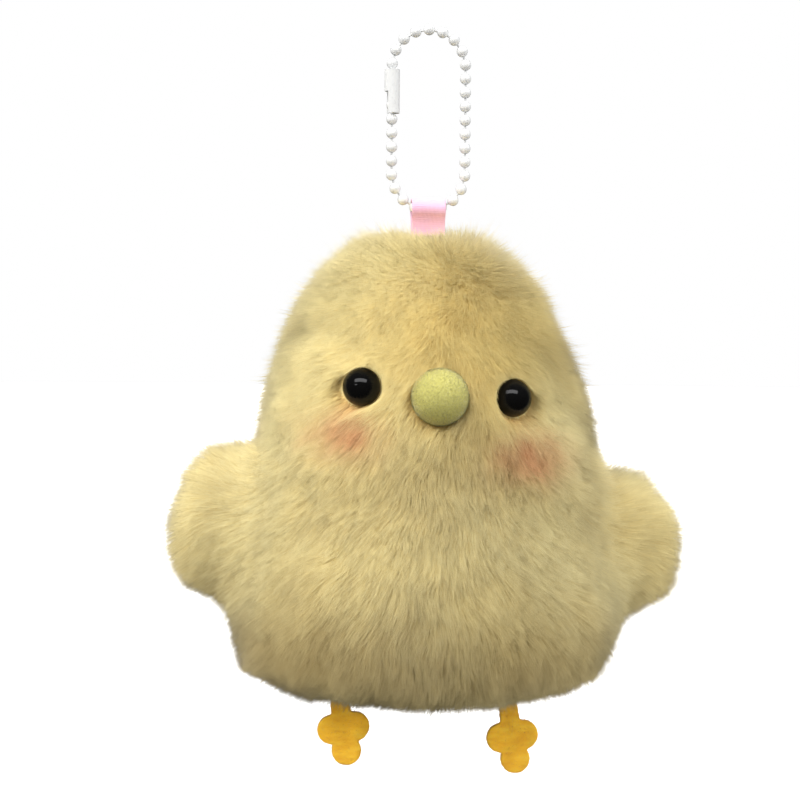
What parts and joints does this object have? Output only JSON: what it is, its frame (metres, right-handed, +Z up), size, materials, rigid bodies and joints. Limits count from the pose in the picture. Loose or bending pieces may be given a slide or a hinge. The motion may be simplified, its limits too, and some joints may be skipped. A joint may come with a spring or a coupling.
{
  "type": "plush keychain",
  "caption": "Stuffed plush chick with folding wings, safety eyes, a flocked ball beak and felt feet, hung by a ribbon from a loop of ball chain.",
  "frame": {"origin": "inside top of the ball chain loop, where it hangs from whatever holds it", "axes": "+Z up along the hanging direction, -Y the way the face looks, +X to the right as seen from the front"},
  "size_m": [0.1079, 0.0608, 0.1633],
  "materials": {
    "plush_yellow": "matte",
    "filling_white": "matte",
    "thread_yellow": "matte",
    "eye_black": "polished",
    "washer_white": "satin",
    "beak_flock": "matte",
    "felt_orange": "matte",
    "ribbon_pink": "satin",
    "bead_white": "gloss",
    "link_white": "gloss",
    "clasp_white": "gloss"
  },
  "bodies": {
    "chain": {"chain_beads": "bead_white", "chain_links": "link_white", "chain_clasp": "clasp_white"},
    "left_lower_run": {"left_lower_beads": "bead_white", "left_lower_links": "link_white"},
    "left_middle_run": {"left_middle_beads": "bead_white", "left_middle_links": "link_white"},
    "left_upper_run": {"left_upper_beads": "bead_white", "left_upper_links": "link_white"},
    "ribbon": {"ribbon_loop": "ribbon_pink"},
    "plush": {"ribbon_sewn_end": "ribbon_pink", "front_panel": "plush_yellow", "back_panel": "plush_yellow", "body_filling": "filling_white", "seam_thread": "thread_yellow", "left_eye": "eye_black", "right_eye": "eye_black", "left_eye_washer": "washer_white", "right_eye_washer": "washer_white", "beak": "beak_flock", "beak_washer": "washer_white", "left_wing_seam": "thread_yellow", "right_wing_seam": "thread_yellow", "left_foot_sewn_end": "felt_orange", "right_foot_sewn_end": "felt_orange"},
    "left_wing": {"left_wing_front": "plush_yellow", "left_wing_back": "plush_yellow", "left_wing_filling": "filling_white"},
    "right_wing": {"right_wing_front": "plush_yellow", "right_wing_back": "plush_yellow", "right_wing_filling": "filling_white"},
    "left_foot": {"left_foot": "felt_orange"},
    "right_foot": {"right_foot": "felt_orange"}
  },
  "joints": [
    {"name": "left_lower_bend", "type": "hinge", "parent": "chain", "child": "left_lower_run", "pos_m": [-0.00293, 0, -0.03711], "axis": [0, -1, 0], "range_deg": [0, 30]},
    {"name": "left_middle_bend", "type": "hinge", "parent": "left_lower_run", "child": "left_middle_run", "pos_m": [-0.00798, 0, -0.03023], "axis": [0, -1, 0], "range_deg": [0, 30]},
    {"name": "left_upper_bend", "type": "hinge", "parent": "left_middle_run", "child": "left_upper_run", "pos_m": [-0.008, 0, -0.02123], "axis": [0, -1, 0], "range_deg": [0, 30]},
    {"name": "ribbon_swing", "type": "hinge", "parent": "chain", "child": "ribbon", "pos_m": [0, 0, -0.03739], "axis": [1, 0, 0], "range_deg": [-55, 55]},
    {"name": "head_swing", "type": "hinge", "parent": "ribbon", "child": "plush", "pos_m": [0, 0, -0.04169], "axis": [1, 0, 0], "range_deg": [-35, 35]},
    {"name": "left_wing_fold", "type": "hinge", "parent": "plush", "child": "left_wing", "pos_m": [-0.04111, 0, -0.10492], "axis": [-0.1495, 0, -0.9888], "range_deg": [-35, 35], "stiffness_Nm_per_rad": 0.0005},
    {"name": "right_wing_fold", "type": "hinge", "parent": "plush", "child": "right_wing", "pos_m": [0.04189, 0, -0.11006], "axis": [-0.1495, 0, 0.9888], "range_deg": [-35, 35], "stiffness_Nm_per_rad": 0.0005},
    {"name": "left_foot_swing", "type": "hinge", "parent": "plush", "child": "left_foot", "pos_m": [-0.0184, 0, -0.14359], "axis": [1, 0, 0], "range_deg": [-60, 60]},
    {"name": "right_foot_swing", "type": "hinge", "parent": "plush", "child": "right_foot", "pos_m": [0.0184, 0, -0.14359], "axis": [1, 0, 0], "range_deg": [-60, 60]}
  ]
}
